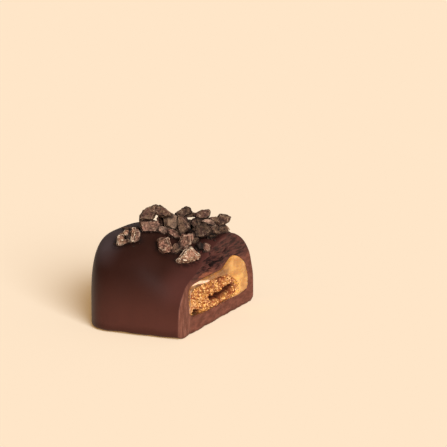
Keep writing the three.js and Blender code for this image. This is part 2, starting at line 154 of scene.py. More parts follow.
CUT_ROUGHNESS = 0.08
CUT_RIM_DROP = 0.25
CUT_RIM_WIDTH = 1.6
KNIFE_MARK = 0.04
KNIFE_MARKS_Y = (-10.5, -12)  # the upright marks grow between these
KNIFE_GRAIN = (0.035, 0.02)  # height of the coarse and the fine grain that the knife leaves
TEAR_HEIGHT = 0.3
TEAR_PITCH = 0.95
TEAR_SLANT = 0.06
TEAR_WANDER = 0.35
TEAR_MID = (-3.2, 10.1)
TEAR_REACH = (5.2, 2.1)

# Slits torn in the chocolate above the filling, each from one (Y, Z) to another, and their half width
# and depth.
SLITS = (
    ((-3.9, 9.5), (-0.2, 9.75), 0.2, 0.8),
    ((-4.8, 8.95), (-2.6, 9.15), 0.15, 0.45),
    ((-3.5, 10.15), (-0.6, 10.5), 0.17, 0.5),
    ((-1.7, 8.65), (1.2, 8.9), 0.18, 0.5),
    ((0.0, 9.7), (2.4, 10.0), 0.19, 0.5),
    ((-5.4, 10.3), (-4.0, 10.7), 0.1, 0.25),
    ((1.6, 10.7), (4.2, 11.2), 0.16, 0.4),
)
HOLE = ((-3.6, 11.6), (-3.1, 11.9), 0.34, 0.8)  # by the upper edge of the cut
SLIT_WANDER = 0.12
SLIT_DARK_FROM = 0.3  # a slit is wholly dark from this depth on: painted shade that grows with its depth
FLAKE = ((-7.6, 8.6), (-2.9, 8.4), 0.42, 0.14)  # thin scale of chocolate that the knife dragged
FLAKE_WANDER = 0.1

LIP = (  # caramel squeezed out along the biscuit's near edge and over it, with a painted highlight: from, to, and how much of it
    ((-11.1, 3.6), (-10.95, 6.9), 0.4),
    ((-10.6, 7.95), (-8.2, 7.85), 1.0),
    ((-8.2, 7.85), (-4.2, 7.2), 1.0),
)
LIP_HALF_WIDTH = 0.24
LIP_RISE = 0.1
CARAMEL_SWELL = 0.18
SWELL_FROM_Y = (-12, 4)  # the caramel swells between these
SWELL_TO_Y = (8, 12.5)  # and sinks again between these
CARAMEL_STRINGS = 0.05
OUTER_CLING = 0.12  # the caramel is pulled down by this much at its outer edge
INNER_CLING = 0.1

CRUMBS = 560
CRUMBLESS_DEPTH = -0.6  # no crumb lies deeper than this in a crack
CRUMB_SIZES = (0.14, 0.42)
DRAGGED_CRUMB_SIZES = (0.14, 0.3)
DUST_GRAINS = 110
DUST_SIZES = (0.22, 0.6)
DUST_REACH = 1.7  # the grains lie up to this far from the middle of a nib
NIB_SHADE_WIDTH = 1.3  # and painted shade darkens the coat up to this far from its surface
NIB_SHADE_FROM_Z = 9.0


# ------------ small maths

def clamp(value, low=0.0, high=1.0):
    return min(max(value, low), high)


def smooth(start, end, value):
    t = clamp((value - start) / (end - start))
    return t * t * (3 - 2 * t)


def mix(a, b, share):
    return a + (b - a) * share


def scatter(i, j, seed):
    value = sin(i * 12.9898 + j * 78.233 + seed * 37.719) * 43758.5453
    return value - floor(value)


def swell(u, v, seed):
    """Smooth noise between -1 and 1 on a grid of unit cells, as in the solids."""
    i, j = floor(u), floor(v)
    a, b = smooth(0, 1, u - i), smooth(0, 1, v - j)
    low = mix(scatter(i, j, seed), scatter(i + 1, j, seed), a)
    high = mix(scatter(i, j + 1, seed), scatter(i + 1, j + 1, seed), a)
    return 2 * mix(low, high, b) - 1


def to_segment(y, z, start, end):
    """Distance from a point to a segment, and how far along the segment its foot is."""
    dy, dz = end[0] - start[0], end[1] - start[1]
    along = clamp(((y - start[0]) * dy + (z - start[1]) * dz) / (dy * dy + dz * dz))
    return along, hypot(y - start[0] - along * dy, z - start[1] - along * dz)


def direction(azimuth, elevation):
    """Unit vector towards an azimuth that is counted from -Y round to +X."""
    return Vector((sin(azimuth) * cos(elevation), -cos(azimuth) * cos(elevation), sin(elevation)))


def arc(d, power):
    """Height of a rounded end of unit size, at a distance d from where it starts."""
    return max(1 - d ** power, 0) ** (1 / power)


# ------------ the bar form

def layer_point(layer, x, phi, grow=0.0):
    """Point of a layer at station x and angle phi round its section, swollen by `grow`."""
    reach = clamp((layer.tip - grow + layer.cap - x) / layer.cap)
    c, s = cos(phi), sin(phi)
    sunk = smooth(layer.slump_from, CUT_X, x)
    shoulder_at_cut = layer.near_shoulder if c < 0 else layer.far_shoulder
    power = mix(layer.shoulder, shoulder_at_cut, sunk) if s >= 0 else layer.foot
    radius = (abs(c) ** power + abs(s) ** power) ** (-1 / power)
    y = layer.mid + (layer.half + grow) * arc(reach, layer.plan) * radius * c
    if s < 0:
        z = layer.waist + (layer.waist - layer.floor + grow) * arc(reach, layer.foot) * radius * s
        return Vector((x, y, z))
    lift = layer.far_lift * sunk * smooth(layer.lift_from, LIFT_TO_Y, y) * s
    pressed = layer.dent * sunk * exp(-((y - DENT_Y) / DENT_REACH) ** 2) * clamp(2 * s)
    top = layer.top + grow - layer.slump * sunk + lift
    z = layer.waist + (top - layer.waist) * arc(reach, layer.rise) * radius * s - pressed
    return Vector((x, y, z))


def end_station(layer, t, grow=0.0):
    """Station on the rounded end, from its tip at t = 0 to where the straight sides start."""
    eta = pi / 2 * t
    bulge = (cos(eta) ** 4 + sin(eta) ** 4) ** -0.25
    return layer.tip - grow + layer.cap * (1 - bulge * cos(eta))


def coat_point(x, phi):
    """Outside of the coat: slow waves, a lip at the foot, and a flat underside."""
    point = layer_point(COAT, x, phi)
    fade = smooth(TIP_X, TIP_X + END_FADE, x)
    along = sin(WAVES_ALONG * x + 1.3 * sin(phi) + 0.6)
    turning = sin(WAVES_ROUND * phi + 0.75 * WAVES_ALONG * x + 1.1)
    outward = COAT_UNEVENNESS * (0.6 * along + 0.4 * turning) * fade
    lip = FOOT_LIP * fade * (1 - smooth(0, FOOT_LIP_HEIGHT, point.z))
    ripple = 0.7 + 0.3 * sin(1.1 * x + 0.8 * point.y)
    point.y += cos(phi) * (outward + lip * ripple)
    point.z = max(point.z + max(sin(phi), 0) * outward, 0)
    return ruffled_foot(point)


def ruffled_foot(point):
    """Lifts the lowest edge of the coat a little off the table, here more and there less."""
    by_side = smooth(HALF_WIDTH - RUFFLE_BY_SIDE[0], HALF_WIDTH - RUFFLE_BY_SIDE[1], abs(point.y))
    by_cut = smooth(CUT_X - RUFFLE_BY_CUT[0], CUT_X - RUFFLE_BY_CUT[1], point.x)
    waves = noise.noise(Vector((point.x * 0.33, point.y * 0.3, 8.0))) + 0.6 * noise.noise(point * 1.1)
    low = 1 - smooth(0, RUFFLE_HEIGHT, point.z)
    point.z += RUFFLE * clamp(0.35 + waves) * low * max(by_side, by_cut)
    return point


def coat_height(x, y):
    """Height of the coat's top above a spot of the plan."""
    low, high = 0.0, pi
    for _ in range(24):
        middle = (low + high) / 2
        low, high = (middle, high) if coat_point(x, middle).y > y else (low, middle)
    return coat_point(x, low).z


# ------------ relief of the cut face

def torn_share(y, z):
    """1 in the middle of the folds above the filling, 0 away from them."""
    reach = hypot((y - TEAR_MID[0]) / TEAR_REACH[0], (z - TEAR_MID[1]) / TEAR_REACH[1])
    return 1 - smooth(0.35, 1.1, reach)


def hugged(phi):
    """How closely the chocolate closes round the biscuit, where the caramel has been squeezed out:
    under it and along its near end, but not over it nor at the caramel pocket."""
    under = smooth(-0.15, -0.5, sin(phi)) * smooth(0.75, 0.35, cos(phi))
    near = 0.6 * smooth(0.75, 0.1, sin(phi)) * smooth(-0.2, -0.6, cos(phi))
    return max(0.92 * under, near)


def filling_point(x, phi, grow=0.0):
    """Where the chocolate ends and the filling starts."""
    wide = layer_point(FILLING, x, phi, grow)
    tight = layer_point(BISCUIT, x, phi, HUG_GAP + grow)
    return wide.lerp(tight, hugged(phi) * smooth(*HUG_X, x))


def chocolate_relief(y, z):
    torn = torn_share(y, z)
    across = (z - TEAR_SLANT * y + TEAR_WANDER * swell(y * 0.7, z * 0.7, 5)) / TEAR_PITCH
    folds = TEAR_HEIGHT * torn * sin(tau * across)
    rim = CUT_RIM_DROP * (1 - smooth(-HALF_WIDTH, -HALF_WIDTH + CUT_RIM_WIDTH, y))
    return folds - rim + CUT_ROUGHNESS * swell(y * 0.45, z * 0.45, 2)


def knife_marks(y, z):
    """Fine marks of the knife: upright grooves in the near wall, slits and a dragged flake above."""
    upright = KNIFE_MARK * noise.noise(Vector((y * 4.5, z * 0.35, 3.0))) * smooth(*KNIFE_MARKS_Y, y)
    coarse = KNIFE_GRAIN[0] * noise.noise(Vector((y, z, 0)) * 1.7)
    fine = KNIFE_GRAIN[1] * noise.noise(Vector((y, z, 0)) * 6)
    return upright + (coarse + fine) - slit_depth(y, z) + FLAKE[3] * flake_share(y, z)


def slit_depth(y, z):
    wander = SLIT_WANDER * noise.noise(Vector((y, z, 2.0)) * 1.9)
    depths = []
    for start, end, half_width, depth in (*SLITS, HOLE):
        along, away = to_segment(y, z + wander, start, end)
        width = half_width * (0.4 + 0.6 * sin(pi * clamp(along, 0.05, 0.95)))
        depths.append(depth * (1 - smooth(0.3 * width, 1.6 * width, away)))
    return max(depths)


def flake_share(y, z):
    wander = FLAKE_WANDER * noise.noise(Vector((y, z, 6.0)) * 2)
    along, away = to_segment(y, z + wander, FLAKE[0], FLAKE[1])
    width = FLAKE[2] * (0.25 + 0.75 * sin(pi * clamp(along, 0.05, 0.95)))
    return 1 - smooth(0.75 * width, width, away)


def caramel_relief(y, z):
    pillow = smooth(*SWELL_FROM_Y, y) * (1 - 0.6 * smooth(*SWELL_TO_Y, y))
    strings = CARAMEL_STRINGS * noise.noise(Vector((y * 0.9, z * 3.2, 5.0)))
    return CARAMEL_SWELL * pillow + CUT_ROUGHNESS * swell(y * 0.5, z * 0.5, 9) + strings


def biscuit_relief(y, z):
    """Height of the broken crumb out of the cut, and its depth in the crack and the pit."""
    coarse = swell(y / CRUMB_GRAIN, z / CRUMB_GRAIN, 3)
    from_pit = y - PIT_MID[0]
    over_pit = z - PIT_SLOPE * from_pit - PIT_MID[1]
    deep = PIT_DEPTH * (1 - smooth(0.2, 1, hypot(from_pit / PIT_SIZE[0], over_pit / PIT_SIZE[1])))
    for start, end, half_width, depth in CRACKS:
        along, away = to_segment(y, z + CRACK_WANDER * swell(y * 0.8, 0.5, 7), start, end)
        opened = half_width * (0.45 + 0.55 * sin(pi * clamp(along, 0.06, 0.94)))
        deep += CRACK_SOFTNESS * depth * (1 - smooth(0.2 * opened, 1.7 * opened, away))
    spot = Vector((0.8 * y + 0.35 * z, z - 0.25 * y, 0)) / GRAIN
    spot += 0.65 * noise.noise_vector(spot * 0.8)
    near, second = noise.voronoi(spot)[0][:2]
    grains = GRAIN_RISE * (0.55 - near) - GRAIN_GAP * (1 - smooth(0.02, 0.25, second - near))
    torn = TORN_RISE * noise.noise(Vector((1.1 * y + 1.6 * z, 2.4 * z - 1.2 * y, 9.0)))
    holes = HOLE_DEPTH * smooth(0.32, 0.6, noise.noise(Vector((y * 1.5, z * 1.9, 21.0))))
    return CRUMB * (coarse - 0.55) + grains + torn - holes - deep


# ------------ making pieces

def rolled_skin(parts, columns, layers):
    """Closed skin made of rows of points that go round the bar. Each part of it is a number of rows
    and a function of (share of the part, angle) that gives a point and its values for `layers`; the
    first and the last row draw together in a point or a seam."""
    bm = bmesh.new()
    stores = [bm.verts.layers.float.new(layer) for layer in layers]
    rows = sum(count for count, _ in parts)
    bmesh.ops.create_grid(bm, x_segments=columns, y_segments=rows, size=1)
    for vert in bm.verts:
        phi = pi * (vert.co.x + 1)
        row = round((vert.co.y + 1) / 2 * rows)
        for count, place in parts:
            if row <= count:
                break
            row -= count
        vert.co, *values = place(row / count, phi)
        for store, value in zip(stores, values):
            vert[store] = value
    bmesh.ops.remove_doubles(bm, verts=bm.verts, dist=1e-4)
    bmesh.ops.recalc_face_normals(bm, faces=bm.faces)
    return bm


def finish_piece(name, bm, finish, node):
    """Brings a piece to metres, shades it smooth and hangs it on the chocolate. What would stand out
    of the box of the solids is pressed back to it."""
    bmesh.ops.scale(bm, vec=(MM, MM, MM), verts=bm.verts)
    low, high = cad_box
    for vert in bm.verts:
        vert.co = [clamp(*place) for place in zip(vert.co, low, high)]
    for face in bm.faces:
        face.smooth = True
    mesh = bpy.data.meshes.new(name)
    bm.to_mesh(mesh)
    bm.free()
    piece = bpy.data.objects.new(name, mesh)
    bpy.context.scene.collection.objects.link(piece)
    mesh.materials.append(finish)
    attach(piece, "root")
    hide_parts(node)


# ------------ chocolate coat

def coat_edge_point(phi):
    point = coat_point(CUT_X, phi)
    point.x = CUT_X + chocolate_relief(point.y, point.z)
    return point


def cut_point(phi, inset):
    """Point of the cut chocolate, `inset` mm in from its outer edge."""
    outer, inner = coat_point(CUT_X, phi), filling_point(CUT_X, phi)
    point = outer.lerp(inner, inset / (inner - outer).length)
    point.x = CUT_X + chocolate_relief(point.y, point.z)
    return point


def cut_width(phi):
    return (coat_point(CUT_X, phi) - filling_point(CUT_X, phi)).length


def coat_end(t, phi):
    return coat_point(end_station(COAT, t), phi), 0.0, 0.0, 0.0


def coat_side(t, phi):
    start = COAT.tip + COAT.cap
    stop = coat_edge_point(phi).x - CUT_EDGE
    return coat_point(mix(start, stop, t), phi), 0.0, 0.0, 0.0


def coat_edge(t, phi):
    turn = pi / 2 * t
    point = cut_point(phi, CUT_EDGE * (1 - cos(turn)))
    point.x -= CUT_EDGE * (1 - sin(turn))
    return point, t, 0.0, 0.0


def coat_cut(t, phi):
    point = cut_point(phi, mix(CUT_EDGE, cut_width(phi) - FILM, t))
    fade = smooth(0, 0.06, t) * smooth(1, 0.94, t)
    point.x += knife_marks(point.y, point.z) * fade
    # painted shade in the slits and the hole, by their depth
    dark = clamp(slit_depth(point.y, point.z) / SLIT_DARK_FROM)
    return point, 1.0, dark, flake_share(point.y, point.z)


def coat_hollow(t, phi):
    """The seat of the filling, from the cut back to its rounded end."""
    front = cut_point(phi, cut_width(phi) - FILM).x - FILM
    straight = FILLING.tip + FILLING.cap
    if t < 0.4:
        return filling_point(mix(front, straight, t / 0.4), phi), 1.0, 1.0, 0.0
    return layer_point(FILLING, end_station(FILLING, (1 - t) / 0.6), phi), 1.0, 1.0, 0.0


def make_coat(heap):
    """Makes the coat, with painted shade close to the nibs of the heap, and returns its surface."""
    parts = ((40, coat_end), (44, coat_side), (5, coat_edge), (46, coat_cut), (18, coat_hollow))
    bm = rolled_skin(parts, 460, ("cut", "slit", "flake"))
    # painted shade on the coat close to the nibs
    dust = bm.verts.layers.float.new("dust")
    for vert in bm.verts:
        if vert.co.z > NIB_SHADE_FROM_Z and vert.co.x < CUT_X - 0.5:
            vert[dust] = closeness(vert.co, heap, NIB_SHADE_WIDTH)
    surface = BVHTree.FromBMesh(bm)
    finish_piece("coat", bm, chocolate_finish(), "chocolate_shell")
    return surface


# ------------ caramel

def lip_share(y, z):
    """Thin raised lip of caramel along the near end of the biscuit's top, with a painted highlight along
    it.
    """
    shares = []
    for start, end, amount in LIP:
        away = to_segment(y, z, start, end)[1]
        shares.append(amount * (1 - smooth(0.5 * LIP_HALF_WIDTH, 1.5 * LIP_HALF_WIDTH, away)))
    return max(shares)


def caramel_back(t, phi):
    return layer_point(FILLING, end_station(FILLING, t, -FILM), phi, -FILM), 0.0, 0.0


def caramel_side(t, phi):
    start = FILLING.tip + FILM + FILLING.cap
    edge = filling_point(CUT_X, phi, -FILM)
    stop = CUT_X - OUTER_CLING + caramel_relief(edge.y, edge.z)
    return filling_point(mix(start, stop, t), phi, -FILM), 0.0, 0.0


def caramel_front(t, phi):
    """Ring of caramel in the cut, pulled down a little where it clings to its neighbours."""
    outer = filling_point(CUT_X, phi, -FILM)
    inner = layer_point(BISCUIT, CUT_X, phi, FILM)
    point = outer.lerp(inner, t)
    cling = OUTER_CLING * (1 - smooth(0, 0.25, t)) + INNER_CLING * smooth(0.8, 1, t)
    # the lip's share also lays its painted highlight
    lip = lip_share(point.y, point.z)
    point.x = CUT_X + caramel_relief(point.y, point.z) - cling + LIP_RISE * lip
    film = smooth(-0.1, -0.5, sin(phi)) * smooth(0.9, 0.4, cos(phi))
    return point, lip, film


def caramel_seat(t, phi):
    """The seat of the biscuit, from the cut back to its rounded end."""
    edge = caramel_front(1, phi)[0]
    straight = BISCUIT.tip - FILM + BISCUIT.cap
    if t < 0.6:
        return layer_point(BISCUIT, mix(edge.x, straight, t / 0.6), phi, FILM), 0.0, 0.0
    return layer_point(BISCUIT, end_station(BISCUIT, (1 - t) / 0.4, FILM), phi, FILM), 0.0, 0.0


def make_caramel():
    parts = ((16, caramel_back), (16, caramel_side), (22, caramel_front), (20, caramel_seat))
    bm = rolled_skin(parts, 360, ("lip", "film"))
    finish_piece("caramel_layer", bm, caramel_finish(), "caramel")


# ------------ biscuit

SPINE_HALF = 7.2  # the rows of the broken face draw together in a line along its middle
SPINE_Z = 4.9
SIDE_HOLLOW = 0.4  # how dark the sides are with painted shade, as the hollows of the broken face are
HOLLOW_FROM = 0.1  # painted shade darkens the broken face from this depth on
HOLLOW_SPAN = 0.9


def biscuit_spot(t, phi):
    """Spot in the plane of the cut, from the biscuit's outline at t = 0 to its middle line at 1."""
    spine = Vector((CUT_X, BISCUIT.mid + SPINE_HALF * cos(phi), SPINE_Z))
    return layer_point(BISCUIT, CUT_X, phi).lerp(spine, t)


def biscuit_back(t, phi):
    return layer_point(BISCUIT, end_station(BISCUIT, t), phi), SIDE_HOLLOW


def biscuit_side(t, phi):
    edge = layer_point(BISCUIT, CUT_X, phi)
    front = CUT_X + biscuit_relief(edge.y, edge.z) + CRUMB_EDGE_RISE
    return layer_point(BISCUIT, mix(BISCUIT.tip + BISCUIT.cap, front, t), phi), SIDE_HOLLOW


def biscuit_front(t, phi):
    point = biscuit_spot(t, phi)
    height = biscuit_relief(point.y, point.z) + CRUMB_EDGE_RISE * (1 - smooth(0, 0.12, t))
    jog = CRUMB_JOG * smooth(0, 0.1, t) * smooth(1, 0.9, t)
    shove = noise.noise_vector(Vector((point.y, point.z, 4.0)) * 3.1) * jog
    point += Vector((height, shove.y, shove.z))
    # painted shade: the deeper the crumb lies, the darker it is painted
    return point, clamp(-(height + HOLLOW_FROM) / HOLLOW_SPAN)


def make_biscuit():
    parts = ((8, biscuit_back), (14, biscuit_side), (34, biscuit_front))
    bm = rolled_skin(parts, 520, ("hollow",))
    finish_piece("biscuit_core", bm, biscuit_finish(), "biscuit")


# ------------ cocoa nibs

# Each chip: name, kind, middle (mm), azimuth and elevation it faces, depth, and its outline as seen
# along its facing direction, from its middle.
NIBS = (
    ("hollow_left", "pale", (-3.35, -9.6, 14.1), (30, 15), 1.4,
     ((-0.6, 0.5), (0.1, 0.95), (0.5, 1.0), (0.6, -0.25), (0.3, -0.8), (-0.25, -0.95), (-0.7, -0.75))),
    ("hollow_knob", "pale", (-2.6, -9.35, 15.15), (25, 20), 1.4,
     ((-0.6, 0.0), (-0.15, 0.4), (0.45, 0.35), (0.5, -0.05), (0.3, -0.55), (-0.35, -0.55))),
    ("hollow_base", "pale", (-2.7, -10.05, 13.4), (20, 30), 1.2,
     ((-1.1, 0.15), (-0.15, 0.05), (1.1, 0.8), (1.3, 0.45), (0.45, -0.1), (-0.6, -0.55), (-0.95, -0.4))),
    ("hollow_middle", "dark", (-2.35, -8.8, 14.2), (30, 15), 2.2,
     ((-0.7, 0.5), (0.1, 0.75), (0.85, 0.8), (0.8, -0.1), (0.4, -0.8), (-0.4, -1.1))),
    ("hollow_leg", "pale", (-1.6, -9.35, 14.75), (45, 5), 1.0,
     ((0.1, 1.2), (0.65, 1.15), (0.55, 0.45), (0.0, -1.1), (-0.5, -1.05), (-0.2, 0.0))),
    ("hollow_right", "red", (-1.3, -8.65, 14.5), (45, 10), 1.8,
     ((-0.15, 1.15), (0.45, 1.05), (0.65, 0.4), (0.4, -0.6), (-0.25, -1.1), (-0.7, -1.1), (-0.45, 0.0))),
    ("twig", "dark", (-5.25, -2.4, 14.4), (25, 10), 0.7,
     ((-1.45, 0.2), (0.3, 0.15), (1.25, 0.2), (1.4, -0.1), (-0.3, -0.3), (-1.1, -0.2))),
    ("arch_dome", "dark", (-1.4, -2.85, 17.55), (23, 11), 2.0,
     ((-1.75, -1.45), (-1.65, -0.6), (-1.15, 0.1), (-0.5, 0.6), (0.2, 0.9), (0.85, 1.1), (1.25, 0.95),
      (1.15, 0.15), (0.4, -1.45))),
    ("arch_leg", "dark", (0.55, -2.2, 17.5), (30, 20), 2.0,
     ((-1.2, 0.85), (-0.25, 1.05), (0.4, 0.55), (1.25, -0.2), (1.4, -0.9), (0.35, -0.95), (-0.8, -0.65),
      (-1.4, -0.2))),
    ("arch_foot", "red", (-1.45, -2.95, 15.05), (18, 8), 2.3,
     ((-1.7, 0.95), (0.45, 1.1), (1.2, 0.95), (1.6, 0.35), (1.25, -0.7), (0.55, -0.95), (-1.15, -0.9),
      (-1.55, -0.1))),
    ("behind_arch", "dark", (0.2, 0.45, 15.5), (15, 25), 2.6,
     ((-1.45, 0.65), (-0.55, 1.2), (0.6, 1.2), (1.15, 0.95), (1.3, -0.85), (0.5, -1.75), (-0.9, -1.4))),
    ("ridge_left", "dark", (1.6, -1.1, 15.7), (40, 10), 2.3,
     ((-1.3, 0.8), (-0.6, 1.3), (0.1, 1.35), (0.75, 1.05), (0.75, -1.0), (-0.1, -1.25), (-1.15, -0.6))),
    ("ridge_middle", "dark", (3.1, -0.4, 14.95), (30, 20), 2.2,
     ((-0.9, 1.85), (0.15, 1.7), (1.15, 0.4), (1.25, -0.3), (0.4, -1.05), (-0.25, -1.7), (-0.7, -0.9),
      (-1.0, 0.15))),
    ("peak", "dark", (2.45, 1.85, 16.85), (15, 15), 2.0,
     ((-1.35, -0.2), (-0.55, 0.5), (0.4, 1.05), (0.95, 0.8), (1.45, 0.15), (0.65, -0.15), (0.3, -0.6),
      (-0.6, -1.0), (-1.2, -0.65))),
    ("under_peak", "red", (1.45, 2.9, 15.05), (10, 25), 2.4,
     ((-1.3, 1.0), (0.3, 1.05), (0.85, 0.4), (1.15, -0.6), (0.0, -1.25), (-1.1, -0.5))),
    ("gap_roof", "dark", (2.95, 3.55, 16.2), (25, 10), 2.2,
     ((-1.3, 0.2), (0.05, 0.5), (0.8, 0.3), (1.0, -0.25), (0.05, -0.4), (-1.1, -0.4))),
    ("gap_left", "dark", (2.7, 1.95, 15.8), (30, 10), 1.4,
     ((-0.5, 0.65), (0.0, 0.55), (0.2, 0.2), (0.2, -0.15), (0.55, -0.5), (-0.05, -0.7), (-0.6, -0.1))),
    ("gap_floor", "dark", (3.45, 2.5, 15.1), (15, 15), 1.8,
     ((-1.0, 0.5), (0.15, 0.5), (1.05, 0.25), (0.9, -0.45), (-0.2, -0.75), (-0.9, -0.1))),
    ("high_right", "dark", (5.3, 3, 16.6), (40, 15), 1.7,
     ((-1.4, 0.2), (-0.65, 0.35), (-0.1, 0.65), (0.95, 0.7), (1.3, 0.45), (0.95, -0.45), (0.25, -0.75),
      (-0.85, -0.75), (-1.45, -0.35))),
    ("under_high_right", "dark", (4.7, 3.15, 15), (70, 30), 2.3,
     ((-1.3, 0.9), (0.2, 0.9), (1.85, 0.35), (1.85, -0.4), (0.5, -1.15), (-1.4, -0.85), (-1.85, 0.15))),
    ("flat_shard", "red", (7, 1.7, 15.45), (10, 35), 0.9,
     ((-1.2, 0.4), (-0.15, 0.7), (0.65, 0.4), (1.3, -0.5), (0.95, -0.65), (-0.5, -0.05), (-1.1, 0.15))),
    ("far_band", "dark", (7.1, 3.3, 15.6), (20, 25), 2.0,
     ((-0.75, 0.4), (0.9, 0.45), (1.1, -0.5), (0.15, -0.7), (-0.6, -0.4))),
    ("far_right", "dark", (8.05, 4.6, 15.6), (20, 10), 1.9,
     ((-0.8, 0.35), (-0.3, 0.95), (0.7, 0.9), (1.4, 0.45), (1.15, -0.35), (0.3, -0.95), (-0.45, -1.25),
      (-1.0, -0.4))),
    ("under_far_right", "dark", (7.5, 4.4, 14.2), (50, 45), 2.1,
     ((-1.3, 0.2), (-0.3, 1.1), (1.1, 0.6), (1.3, -0.6), (0.1, -1.2), (-1.1, -0.8))),
    ("big_dark", "dark", (6.85, -0.7, 14.5), (28, 15), 2.4,
     ((-1.55, 0.3), (-0.95, 0.95), (0.4, 1.25), (1.05, 0.75), (1.4, 0.0), (0.9, -0.65), (-0.3, -1.05),
      (-1.25, -1.0))),
    ("big_leg", "dark", (5.95, -1.6, 13.35), (20, 5), 1.6,
     ((-0.5, 1.15), (0.45, 0.9), (0.75, 0.2), (0.35, -0.75), (-0.15, -1.15), (-0.45, -0.65), (-0.35, 0.3))),
    ("small_left", "red", (1.2, -2.85, 14.55), (10, 30), 1.2,
     ((-1.25, 0.05), (-0.85, 0.65), (0.3, 0.55), (1.1, 0.15), (0.9, -0.65), (-0.35, -0.6))),
    ("small_right", "red", (2.65, -2.95, 14.1), (25, 30), 1.2,
     ((-0.9, 0.75), (-0.05, 0.85), (0.7, 0.4), (1.2, -0.6), (0.5, -0.95), (-1.0, 0.15))),
    ("square_block", "red", (3.75, -8.15, 13.5), (12, 25), 2.0,
     ((-1.25, 0.55), (-0.8, 0.95), (0.45, 1.05), (0.9, 0.25), (1.15, -0.45), (0.8, -1.15), (-0.3, -1.5),
      (-0.9, -1.05))),
    ("slanting_block", "red", (5.9, -5.3, 13.55), (30, 22), 1.9,
     ((-0.4, 1.2), (1.2, 1.15), (1.25, 0.35), (0.85, -0.5), (-0.1, -1.3), (-1.3, -1.6), (-1.4, -0.8),
      (-0.9, 0.2))),
    ("slanting_end", "dark", (4.9, -6.5, 12.4), (5, 20), 1.6,
     ((-0.85, -0.7), (-0.55, 0.3), (0.15, 1.1), (1.0, 0.8), (0.9, 0.1), (0.0, -0.85), (-0.5, -1.0))),
    ("pale_wedge", "pale", (7.05, -7.15, 11.55), (32, 26), 2.1,
     ((0.8, 1.55), (2.05, -0.05), (1.7, -0.45), (-0.1, -1.05), (-1.5, -1.0), (-1.75, -0.5), (-0.2, 1.15))),
    ("dark_crumb", "dark", (7.6, -3.6, 12.6), (40, 20), 1.3,
     ((-0.6, 0.4), (0.25, 0.7), (0.75, 0.2), (0.5, -0.5), (-0.25, -0.6))),
    ("spike", "red", (8.65, -3.2, 12.35), (20, 20), 1.2,
     ((-0.85, 0.7), (0.15, 0.85), (0.75, 0.4), (0.6, -0.4), (0.0, -1.25), (-0.5, -0.3))),
    ("dark_shard", "dark", (8.45, 1, 14.65), (30, 15), 1.1,
     ((-1.0, 0.5), (0.2, 0.75), (0.75, 0.1), (0.3, -0.75), (-0.6, -0.6))),
    ("under_dark_shard", "dark", (7.4, 1.8, 14.2), (40, 30), 2.2,
     ((-1.3, 0.3), (-0.3, 1.25), (1.0, 0.8), (1.3, -0.5), (0.1, -1.3), (-1.1, -0.9))),
    ("back_left", "red", (-2.4, 5.1, 14.7), (-150, 30), 2.0,
     ((-1.4, -0.2), (-0.5, 0.9), (0.8, 1.0), (1.4, 0.1), (0.7, -0.9), (-0.8, -0.8))),
    ("back_middle", "dark", (3.7, 6.4, 14.4), (170, 35), 2.1,
     ((-1.5, 0.1), (-0.7, 1.1), (0.7, 0.9), (1.3, 0.0), (0.9, -1.0), (-0.6, -1.1))),
    ("back_right", "pale", (6.7, 7.6, 13.2), (150, 30), 1.8,
     ((-1.2, -0.3), (-0.8, 0.7), (0.5, 1.0), (1.2, 0.2), (0.5, -0.9), (-0.7, -0.8))),
)
NIB_LOOPS = ((1.1, 0.1), (0.8, 0.55), (0.7, -0.55))
NIB_UNEVENNESS = 0.22
NIB_MESH = 0.15  # longest edge of a nib's mesh
NIB_RIM = 0.2  # width of the paler rim along a nib's broken edges
HOLLOWED = {"pale": 0.1, "red": 0.05, "dark": 0.02}  # how far the faces sink inside that rim
FLAT_ANGLE = 14  # degrees up to which neighbouring faces of a chip are one
CHIP_REACH = 2.6  # no chip reaches farther from its middle
NEIGHBOUR_REACH = 5  # chips whose middles are farther apart don't touch
SEAM_WIDTH = 0.5  # painted shade darkens the seams between chips up to this width
ONE_BEAN = (  # chips with no painted shade in the seam between them
    {"arch_dome", "arch_leg"},
    {"hollow_left", "hollow_knob", "hollow_base"},
    {"hollow_leg", "hollow_right"},
)
ROUGHNESS = {"pale": 0.13, "red": 0.12, "dark": 0.1}  # height of the broken surface
CHIP_TONES = {  # how dark a chip is, from -1 for pale to 3, partly its own colour and partly painted shade and painted light for where it lies in the heap; the tone of others lies between 0 and 1
    "hollow_left": 1.3, "hollow_base": 0.9, "hollow_knob": 0.0, "hollow_leg": 0.2, "hollow_right": 0.7,
    "peak": 1.2, "ridge_left": -1.0, "flat_shard": -1.0, "small_left": -0.6, "arch_dome": 0.2,
    "arch_leg": 0.3, "arch_foot": -0.3, "big_dark": 1.7, "big_leg": 0.1, "dark_crumb": 2.9,
    "far_right": -0.2, "high_right": -0.1, "under_dark_shard": 1.6, "slanting_end": 0.0,
}


def chip_hull(number, at, face, deep, outline):
    """A chip's plain hull, from its outline and smaller, slightly turned copies before and behind."""
    azimuth, elevation = radians(face[0]), radians(face[1])
    forward = direction(azimuth, elevation)
    right = Vector((cos(azimuth), sin(azimuth), 0))
    up = forward.cross(right)
    bm = bmesh.new()
    for corner, (u, v) in enumerate(outline):
        for k, (scale, level) in enumerate(NIB_LOOPS):
            shift = NIB_UNEVENNESS * (scatter(number, corner, k) - 0.5) if k else 0
            spot = right * (u * scale + shift) + up * (v * scale - shift)
            bm.verts.new(Vector(at) + spot + forward * (deep * level * (1 - abs(shift))))
    hull = bmesh.ops.convex_hull(bm, input=bm.verts)
    bmesh.ops.delete(bm, geom=hull["geom_interior"], context="VERTS")
    bmesh.ops.dissolve_limit(bm, angle_limit=radians(FLAT_ANGLE), verts=bm.verts, edges=bm.edges)
    return bm


